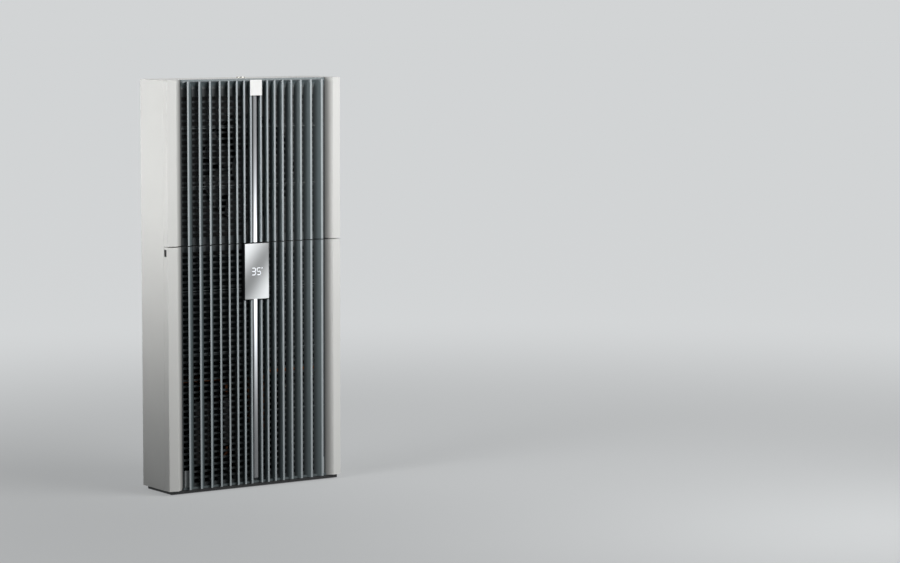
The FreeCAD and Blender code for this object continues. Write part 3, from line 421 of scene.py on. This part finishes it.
def coil_fins(name, colour):
    """A pack of thin aluminium fins, darkened as painted shade: dark stripes, drawn at a wide pitch so
    that they show.
    """
    material, tree, shader, place = start_material(name, colour, metallic=1.0, roughness=0.45)
    pitch_mm = 3.0
    bands_per_unit = 20 / (2 * math.pi)  # of a Wave node at scale 1
    stripes = add_node(tree, "ShaderNodeTexWave", {"wave_type": "BANDS", "bands_direction": "X"},
                       {"Vector": place, "Scale": per_metre(pitch_mm) / bands_per_unit})
    tone = add_node(tree, "ShaderNodeValToRGB", {}, {"Fac": stripes.outputs["Fac"]},
                    [(0.0, toned(colour, 0.25)), (1.0, colour)])
    tree.links.new(tone.outputs["Color"], shader.inputs["Base Color"])
    relief = add_node(tree, "ShaderNodeBump", {}, {
        "Height": stripes.outputs["Fac"], "Distance": 0.8 * MM, "Strength": 0.7})
    tree.links.new(relief.outputs["Normal"], shader.inputs["Normal"])
    return material


def drawn_copper(name, colour):
    """Drawn copper tube: bright, with brown tarnish in patches."""
    material, tree, shader, place = start_material(name, colour, metallic=1.0, roughness=0.3)
    tarnish = add_node(tree, "ShaderNodeTexNoise", {}, {
        "Vector": place, "Scale": per_metre(25.0), "Detail": 4.0})
    tone = add_node(tree, "ShaderNodeValToRGB", {}, {"Fac": tarnish.outputs["Fac"]},
                    [(0.35, toned(colour, 0.4)), (0.6, colour)])
    tree.links.new(tone.outputs["Color"], shader.inputs["Base Color"])
    gloss = add_node(tree, "ShaderNodeMapRange", {}, {
        "Value": tarnish.outputs["Fac"], "To Min": 0.42, "To Max": 0.2})
    tree.links.new(gloss.outputs["Result"], shader.inputs["Roughness"])
    return material


def plated_steel(name, colour):
    """Nickel plate on turned steel: bright, with faint turning marks."""
    material, tree, shader, place = start_material(name, colour, metallic=1.0, roughness=0.25)
    fine_relief(tree, shader, place, grain_mm=1.2, depth_mm=0.02)
    wear = add_node(tree, "ShaderNodeTexNoise", {}, {"Vector": place, "Scale": per_metre(4.0)})
    gloss = add_node(tree, "ShaderNodeMapRange", {}, {
        "Value": wear.outputs["Fac"], "To Min": 0.18, "To Max": 0.34})
    tree.links.new(gloss.outputs["Result"], shader.inputs["Roughness"])
    return material


def circuit_board(name, colour):
    """Green solder mask over copper tracks that run square to each other."""
    material, tree, shader, place = start_material(name, colour, metallic=0.0, roughness=0.35)
    tracks = add_node(tree, "ShaderNodeTexBrick", {"offset": 0.5}, {
        "Vector": place, "Scale": per_metre(9.0), "Color1": (*colour, 1),
        "Color2": (*toned(colour, 0.8), 1), "Mortar": (*toned(colour, 1.8), 1), "Mortar Size": 0.03})
    tree.links.new(tracks.outputs["Color"], shader.inputs["Base Color"])
    return material


def finish(material, *names):
    """Puts one material on CAD nodes."""
    for name in names:
        slots = NODES[name].data.materials
        slots.clear()
        slots.append(material)


def soften(width, *names):
    """Rounds the sharp edges of pieces with modifiers, and leaves their meshes as they are."""
    for name in names:
        piece = bpy.data.objects[name]
        weld = piece.modifiers.new("Joined corners", "WELD")
        weld.merge_threshold = 0.005 * MM
        flat = piece.modifiers.new("Flat faces", "DECIMATE")
        flat.decimate_type = "DISSOLVE"
        flat.angle_limit = math.radians(0.3)
        edge = piece.modifiers.new("Soft edges", "BEVEL")
        edge.width = width
        edge.segments = 2
        edge.limit_method = "ANGLE"
        edge.angle_limit = math.radians(30)
        piece.modifiers.new("Even shading", "WEIGHTED_NORMAL")


def new_piece(name, work, material, body):
    """Turns a bmesh into a new piece of the unit, with its finish, that rides on a body."""
    bmesh.ops.recalc_face_normals(work, faces=work.faces)
    mesh = bpy.data.meshes.new(name)
    work.to_mesh(mesh)
    work.free()
    mesh.materials.append(material)
    piece = bpy.data.objects.new(name, mesh)
    bpy.context.scene.collection.objects.link(piece)
    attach(piece, body)


def thicken(work, faces, depth):
    """Pulls flat faces towards the front into closed plates."""
    moved = bmesh.ops.extrude_face_region(work, geom=faces)["geom"]
    corners = [item for item in moved if isinstance(item, bmesh.types.BMVert)]
    bmesh.ops.translate(work, verts=corners, vec=(0, -depth, 0))


def bridge(work, first, second):
    """Faces between two closed rings of as many points."""
    count = len(first)
    return [work.faces.new((first[k], first[(k + 1) % count], second[(k + 1) % count], second[k]))
            for k in range(count)]


def turns_about_y(count, start=0.0):
    """Turns evenly round Y, of which the first is that share of a step along."""
    return [Matrix.Rotation(2 * math.pi * (k + start) / count, 3, "Y") for k in range(count)]


def user_values():
    """The colours, sizes and stage values as the user has them."""
    scene = bpy.context.scene
    return scene.unit_colours, scene.unit_sizes, scene.unit_stage


class UNIT_OT_housing(bpy.types.Operator):
    """Coats the hood, the base and the rear"""
    bl_idname = "unit.housing"
    bl_label = "Housing"

    def execute(self, context):
        colours, sizes, _ = user_values()
        finish(powder_coat("powder coat off-white", colours.hood, roughness=0.5),
               "left_side_panel", "right_side_panel", "top_panel")
        finish(powder_coat("powder coat black", colours.black_coat_and_shade, roughness=0.5),
               "plinth_rails", "plinth_skirt", "fan_shroud")
        finish(rubber("cured rubber", colours.rubber, pore_mm=1.4, depth_mm=0.1),
               "foot_pads", "compressor_grommets")
        finish(rubber("closed-cell foam", colours.rubber, pore_mm=1.0, depth_mm=0.25), "rear_gasket")
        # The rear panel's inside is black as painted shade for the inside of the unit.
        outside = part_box("rear_panel")[1].y
        finish(zinc_sheet("zinc-coated steel, painted inside", colours.zinc, colours.black_coat_and_shade, outside),
               "rear_panel", "inlet_ring")
        # The inner sheet parts are darkened as painted shade.
        finish(zinc_sheet("zinc-coated steel, black-passivated", colours.zinc_painted_shade),
               "base_tray", "bay_shelf", "partition_panel", "compressor_plate", "electronics_box",
               "electronics_lid")
        finish(plated_steel("nickel-plated steel", colours.nickel), "rear_inserts", "lifting_insert")
        finish(moulded_plastic("polyamide dark grey", colours.dark_plastic, roughness=0.5), "cable_gland")
        soften(sizes.soft_edge, "left_side_panel", "right_side_panel", "top_panel", "plinth_rails",
               "plinth_skirt", "lifting_insert", "rear_inserts", "cable_gland", "rear_gasket",
               "foot_pads")
        return {"FINISHED"}


class UNIT_OT_covers(bpy.types.Operator):
    """Finishes the wings, fins, guards, tabs and latches of the front covers, and slants the wings"""
    bl_idname = "unit.covers"
    bl_label = "Front covers"

    def execute(self, context):
        colours, sizes, _ = user_values()
        wings = ("upper_wing_left", "upper_wing_right", "lower_wing_left", "lower_wing_right")
        louvres = ("upper_louvre", "lower_louvre")
        guards = ("upper_guard", "lower_guard")
        latches = ("latch_left", "latch_right")
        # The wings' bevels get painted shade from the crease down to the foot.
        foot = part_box("upper_wing_right")[0].x
        crease = foot + sizes.bevel_width
        finish(wings_with_painted_shade("ABS off-white", colours.wing, foot, crease), *wings)
        louvre_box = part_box("upper_louvre")
        fin_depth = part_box("upper_guard")[0].y - louvre_box[0].y
        # The fins get painted shade on their flanks and painted light in the cove.
        finish(fins_with_painted_shade("ABS teal-grey with light edges", colours.fin_edge, colours.fin_flank,
                             louvre_box, fin_depth, sizes.rail_height, sizes.cove_drop), *louvres)
        finish(moulded_plastic("ABS near-black", colours.guard, roughness=0.55), *guards)
        finish(moulded_plastic("ABS light grey", colours.tab, roughness=0.5), "seat_tabs")
        finish(moulded_plastic("ABS black", colours.dark_plastic, roughness=0.5),
               "display_housing", *latches)
        crisp_wings = [self.crisp_wing(sizes, wing, crease) for wing in wings]
        soften(sizes.soft_edge, "seat_tabs", *crisp_wings, *louvres, *guards, *latches)
        return {"FINISHED"}

    def crisp_wing(self, sizes, wing, crease):
        """A wing whose front slants back to a crisp outer corner, which the solid has as a wide round.
        It stands for that solid."""
        mesh = NODES[wing].data.copy()
        low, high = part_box(wing)
        outside = max(-low.x, high.x)
        wide, tight = sizes.wing_corner, sizes.wing_crease
        slope = sizes.wing_slant / (outside - crease)
        turn = math.pi / 2 - math.atan(slope)
        middle_x = outside - tight
        middle_depth = sizes.wing_slant + tight * math.tan(turn / 2)
        rounding, skin, margin = 0.01 * MM, 0.5 * MM, 1 * MM
        for vertex in mesh.vertices:
            x, depth = abs(vertex.co.x), vertex.co.y - low.y
            aside, ahead = x - (outside - wide), wide - depth
            if min(aside, ahead) > -rounding and math.hypot(aside, ahead) > wide - skin:
                angle = math.atan2(ahead, aside) * turn / (math.pi / 2)
                x, depth = middle_x + tight * math.cos(angle), middle_depth - tight * math.sin(angle)
            elif x > crease and depth < wide + margin:
                depth += slope * (x - crease)
            vertex.co.x, vertex.co.y = math.copysign(x, vertex.co.x), low.y + depth
        piece = bpy.data.objects.new(f"{wing}_crisp", mesh)
        bpy.context.scene.collection.objects.link(piece)
        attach(piece, "upper_cover" if wing.startswith("upper") else "lower_cover")
        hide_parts(wing)
        return piece.name


class UNIT_OT_light_bar(bpy.types.Operator):
    """Lights the two opal bars above and below the display"""
    bl_idname = "unit.light_bar"
    bl_label = "Light bar"

    def execute(self, context):
        colours, sizes, _ = user_values()
        bars = {"upper_light_guide": ("opal acrylic above the display", True),
                "lower_light_guide": ("opal acrylic below the display", False)}
        for bar, (name, upwards) in bars.items():
            finish(opal_acrylic(name, colours.light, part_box(bar), upwards, sizes.glow_depth,
                                sizes.glow_core), bar)
        return {"FINISHED"}


SEGMENTS_OF_DIGIT = {
    "0": "abcdef", "1": "bc", "2": "abged", "3": "abgcd", "4": "fgbc",
    "5": "afgcd", "6": "afgedc", "7": "abc", "8": "abcdefg", "9": "abcdfg",
}


class UNIT_OT_display(bpy.types.Operator):
    """Finishes the display plate and the badge plate, and lights the temperature"""
    bl_idname = "unit.display"
    bl_label = "Display"

    def execute(self, context):
        colours, sizes, _ = user_values()
        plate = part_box("display_face")
        # The display plate carries a painted reflection across it.
        finish(anodised_aluminium("satin anodised aluminium", colours.display, plate), "display_face")
        finish(moulded_plastic("ABS white, satin", colours.badge, roughness=0.3), "badge_plate")
        soften(sizes.soft_edge, "display_face", "badge_plate")
        lit = lit_segment("lit display segments", colours.light)
        middle = Vector((sizes.digit_shift, plate[0].y, plate[1].z - sizes.digit_drop))
        new_piece("temperature_digits", self.digits(sizes, middle), lit, "lower_cover")
        new_piece("degree_mark", self.degree_ring(sizes, middle), lit, "lower_cover")
        return {"FINISHED"}

    def segment_ends(self, sizes):
        """Each segment's two end points in a digit, across and up from the digit's middle."""
        across = (sizes.digit_width - sizes.digit_stroke) / 2
        up = (sizes.digit_height - sizes.digit_stroke) / 2
        return {
            "a": ((-across, up), (across, up)),
            "b": ((across, 0), (across, up)),
            "c": ((across, -up), (across, 0)),
            "d": ((-across, -up), (across, -up)),
            "e": ((-across, -up), (-across, 0)),
            "f": ((-across, 0), (-across, up)),
            "g": ((-across, 0), (across, 0)),
        }

    def digits(self, sizes, middle):
        """The lit segments of all digits, as plates with pointed ends."""
        work = bmesh.new()
        ends = self.segment_ends(sizes)
        for index, digit in enumerate(sizes.temperature):
            shift = Vector(((index - (len(sizes.temperature) - 1) / 2) * sizes.digit_pitch, 0))
            for letter in SEGMENTS_OF_DIGIT[digit]:
                start, end = (Vector(point) + shift for point in ends[letter])
                along = (end - start).normalized()
                side = Vector((-along.y, along.x)) * sizes.digit_stroke / 2
                tip = along * sizes.digit_gap / 2
                shoulder = tip + along * sizes.digit_stroke / 2
                outline = [start + tip, start + shoulder + side, end - shoulder + side,
                           end - tip, end - shoulder - side, start + shoulder - side]
                corners = [work.verts.new(middle + Vector((x, 0, z))) for x, z in outline]
                thicken(work, [work.faces.new(corners)], sizes.digit_proud)
        return work

    def degree_ring(self, sizes, middle):
        """A small ring at the digits' upper right."""
        work = bmesh.new()
        outer = sizes.degree_radius
        last_digit = (len(sizes.temperature) - 1) / 2 * sizes.digit_pitch
        right = last_digit + sizes.digit_width / 2 + 2 * outer
        centre = middle + Vector((right, 0, sizes.digit_height / 2 - outer))
        turns = turns_about_y(RING_STEPS)
        rims = [[work.verts.new(centre + turn @ Vector((radius, 0, 0))) for turn in turns]
                for radius in (outer / 2, outer)]
        thicken(work, bridge(work, *rims), sizes.digit_proud)
        return work


class UNIT_OT_cold_circuit(bpy.types.Operator):
    """Finishes the coils, pipes, compressor, fans and electronics inside"""
    bl_idname = "unit.cold_circuit"
    bl_label = "Cold circuit"

    def execute(self, context):
        colours, sizes, _ = user_values()
        # The coils are darkened as painted shade.
        finish(coil_fins("coated aluminium fins", colours.coil), "condenser_coil", "evaporator_coil")
        # The pipes' dark brown is painted shade.
        finish(drawn_copper("drawn copper", colours.copper), "condenser_headers", "evaporator_headers",
               "accumulator_elbow", "discharge_pipe", "liquid_pipe", "injection_pipe", "evaporator_feed",
               "suction_pipe", "filter_dryer", "expansion_valve")
        finish(powder_coat("black enamel", colours.enamel, roughness=0.3),
               "compressor", "accumulator", "condenser_fan_motor", "evaporator_fan_motor")
        finish(moulded_plastic("glass-filled polyamide", colours.blade, roughness=0.5, grain_mm=1.5),
               "condenser_impeller", "evaporator_impeller")
        finish(circuit_board("circuit board", colours.board), "control_board")
        finish(moulded_plastic("PVC dark grey", colours.tray, roughness=0.45, grain_mm=1.2),
               "condensate_tray", "drain_pipe")
        soften(sizes.soft_edge, "condenser_impeller", "evaporator_impeller")
        return {"FINISHED"}


# Shares of a button head's radius and height, from its rim to its top, and of its height at the
# socket's floor.
SCREW_DOME = ((1.0, 0.0), (0.97, 0.35), (0.8, 0.75), (0.55, 1.0))
SOCKET_FLOOR = 0.45


class UNIT_OT_fasteners(bpy.types.Operator):
    """Adds the button-head screws of the air inlet and of the electronics lid"""
    bl_idname = "unit.fasteners"
    bl_label = "Fasteners"

    def execute(self, context):
        colours, sizes, _ = user_values()
        steel = plated_steel("nickel-plated screws", colours.nickel)
        backwards, forwards = 1, -1
        inlet_heads = self.heads(sizes, self.inlet_places(sizes), backwards)
        lid_heads = self.heads(sizes, self.lid_places(sizes), forwards)
        new_piece("inlet_screws", inlet_heads, steel, "unit")
        new_piece("lid_screws", lid_heads, steel, "unit")
        return {"FINISHED"}

    def inlet_places(self, sizes):
        """Points on the rear panel's outer face, evenly round the inlet."""
        low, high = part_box("inlet_ring")
        middle = Vector(((low.x + high.x) / 2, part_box("rear_panel")[1].y, (low.z + high.z) / 2))
        arm = Vector((sizes.inlet_screw_circle, 0, 0))
        return [middle + turn @ arm for turn in turns_about_y(sizes.inlet_screws, start=0.5)]

    def lid_places(self, sizes):
        """Points near the corners of the electronics lid's front."""
        low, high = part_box("electronics_lid")
        inset = sizes.lid_screw_inset
        return [Vector((x, low.y, z)) for x in (low.x + inset, high.x - inset)
                for z in (low.z + inset, high.z - inset)]

    def heads(self, sizes, places, side):
        """Domed heads with a six-sided socket, which stand out along Y to one side."""
        radius, height, flat = sizes.screw_radius, sizes.screw_height, sizes.screw_socket / 2
        six_sided = [flat / math.cos(math.radians((k * 360 / RING_STEPS) % 60 - 30))
                     for k in range(RING_STEPS)]
        dome = [([share * radius] * RING_STEPS, level * height) for share, level in SCREW_DOME]
        profile = [*dome, (six_sided, height), (six_sided, SOCKET_FLOOR * height)]
        turns = turns_about_y(RING_STEPS)
        work = bmesh.new()
        for place in places:
            rings = []
            for reaches, level in profile:
                rings.append([work.verts.new(place + turn @ Vector((reach, side * level, 0)))
                              for turn, reach in zip(turns, reaches)])
            for first, second in zip(rings, rings[1:]):
                bridge(work, first, second)
            work.faces.new(rings[0])
            work.faces.new(rings[-1])
        return work


class UNIT_OT_stage(bpy.types.Operator):
    """Sets the floor, the lamps and the camera"""
    bl_idname = "unit.stage"
    bl_label = "Stage"

    def execute(self, context):
        _, _, stage = user_values()
        scene = context.scene
        scene.view_settings.view_transform = "Standard"
        self.world(scene, stage)
        self.floor(scene, stage)
        self.lamp(scene, "Side lamp", stage.side_power, stage.side_size, stage.side_spread,
                  stage.side_place, stage.side_target)
        self.lamp(scene, "Front lamp", stage.front_power, stage.front_size, stage.front_spread,
                  stage.front_place, stage.front_target)
        self.camera(scene, stage)
        return {"FINISHED"}

    def seen(self, tree):
        """1 for rays from the camera, in reflections and through clear parts, else 0."""
        rays = add_node(tree, "ShaderNodeLightPath", {}, {})
        total = rays.outputs["Is Camera Ray"]
        for name in ("Is Glossy Ray", "Is Transmission Ray"):
            total = add_node(tree, "ShaderNodeMath", {"operation": "MAXIMUM"},
                             {0: total, 1: rays.outputs[name]}).outputs[0]
        return total

    def world(self, scene, stage):
        """Even room light, and the pale background where it is seen."""
        world = bpy.data.worlds.new("Room")
        scene.world = world
        world.use_nodes = True
        tree = world.node_tree
        level = add_node(tree, "ShaderNodeMapRange", {}, {
            "Value": self.seen(tree), "To Min": stage.ambient, "To Max": 1.0})
        background = tree.nodes["Background"]
        background.inputs["Color"].default_value = (*stage.floor, 1)
        tree.links.new(level.outputs["Result"], background.inputs["Strength"])

    def floor(self, scene, stage):
        """A round floor that keeps the unit's shadow and stays as pale where the lamps don't reach."""
        work = bmesh.new()
        bmesh.ops.create_circle(work, cap_ends=True, segments=96, radius=stage.floor_radius)
        mesh = bpy.data.meshes.new("Floor")
        work.to_mesh(mesh)
        work.free()
        floor = bpy.data.objects.new("Floor", mesh)
        scene.collection.objects.link(floor)
        material, tree, shader, place = start_material(
            "pale studio floor", toned(stage.floor, stage.floor_bounce), metallic=0.0, roughness=0.7)
        shader.inputs["Specular IOR Level"].default_value = 0
        away = add_node(tree, "ShaderNodeVectorMath", {"operation": "DISTANCE"},
                        {0: place, 1: stage.pool_place})
        room_light = stage.floor_bounce * stage.ambient * sum(stage.floor) / 3
        lift = add_node(tree, "ShaderNodeMapRange", {"interpolation_type": "SMOOTHSTEP"}, {
            "Value": away.outputs["Value"], "From Min": stage.pool_inner, "From Max": stage.pool_outer,
            "To Min": stage.pool_lift, "To Max": 1 - room_light})
        glow = add_node(tree, "ShaderNodeMath", {"operation": "MULTIPLY"},
                        {0: lift.outputs["Result"], 1: self.seen(tree)})
        shader.inputs["Emission Color"].default_value = (*stage.floor, 1)
        tree.links.new(glow.outputs[0], shader.inputs["Emission Strength"])
        mesh.materials.append(material)

    def lamp(self, scene, name, power, size, spread, place, target):
        """A large soft area lamp that points at the unit."""
        light = bpy.data.lights.new(name, "AREA")
        light.shape = "DISK"
        light.size = size
        light.energy = power
        light.spread = spread
        lamp = bpy.data.objects.new(name, light)
        lamp.location = place
        lamp.rotation_euler = (Vector(target) - Vector(place)).to_track_quat("-Z", "Y").to_euler()
        scene.collection.objects.link(lamp)

    def camera(self, scene, stage):
        """The photograph's view."""
        camera = bpy.data.objects.new("Camera", bpy.data.cameras.new("Camera"))
        camera.data.sensor_width = stage.camera_sensor
        camera.data.lens = stage.camera_lens
        camera.data.clip_end = 200.0
        turn = (Matrix.Rotation(-stage.camera_yaw, 4, "Z")
                @ Matrix.Rotation(math.pi / 2 + stage.camera_pitch, 4, "X")
                @ Matrix.Rotation(stage.camera_roll, 4, "Z"))
        camera.matrix_world = Matrix.Translation(stage.camera_place) @ turn
        scene.collection.objects.link(camera)
        scene.camera = camera


STEPS = (UNIT_OT_housing, UNIT_OT_covers, UNIT_OT_light_bar, UNIT_OT_display, UNIT_OT_cold_circuit,
         UNIT_OT_fasteners, UNIT_OT_stage)
GROUPS = {"unit_colours": UnitColours, "unit_sizes": UnitSizes, "unit_stage": UnitStage}


class UNIT_PT_panel(bpy.types.Panel):
    """Lists the steps that dress the unit, and their values"""
    bl_idname = "UNIT_PT_panel"
    bl_label = "Cooling unit"
    bl_space_type = "VIEW_3D"
    bl_region_type = "UI"
    bl_category = "Cooling unit"

    def draw(self, context):
        for step in STEPS:
            self.layout.operator(step.bl_idname)
        for group in user_values():
            box = self.layout.box()
            for name in group.__annotations__:
                box.prop(group, name)


def register():
    for cls in (*GROUPS.values(), *STEPS, UNIT_PT_panel):
        bpy.utils.register_class(cls)
    for name, group in GROUPS.items():
        setattr(bpy.types.Scene, name, PointerProperty(type=group))


def unregister():
    for name in GROUPS:
        delattr(bpy.types.Scene, name)
    for cls in (UNIT_PT_panel, *reversed(STEPS), *reversed(GROUPS.values())):
        bpy.utils.unregister_class(cls)


def main():
    register()
    bpy.ops.unit.housing()
    bpy.ops.unit.covers()
    bpy.ops.unit.light_bar()
    bpy.ops.unit.display()
    bpy.ops.unit.cold_circuit()
    bpy.ops.unit.fasteners()
    bpy.ops.unit.stage()


if __name__ == "__main__":
    main()
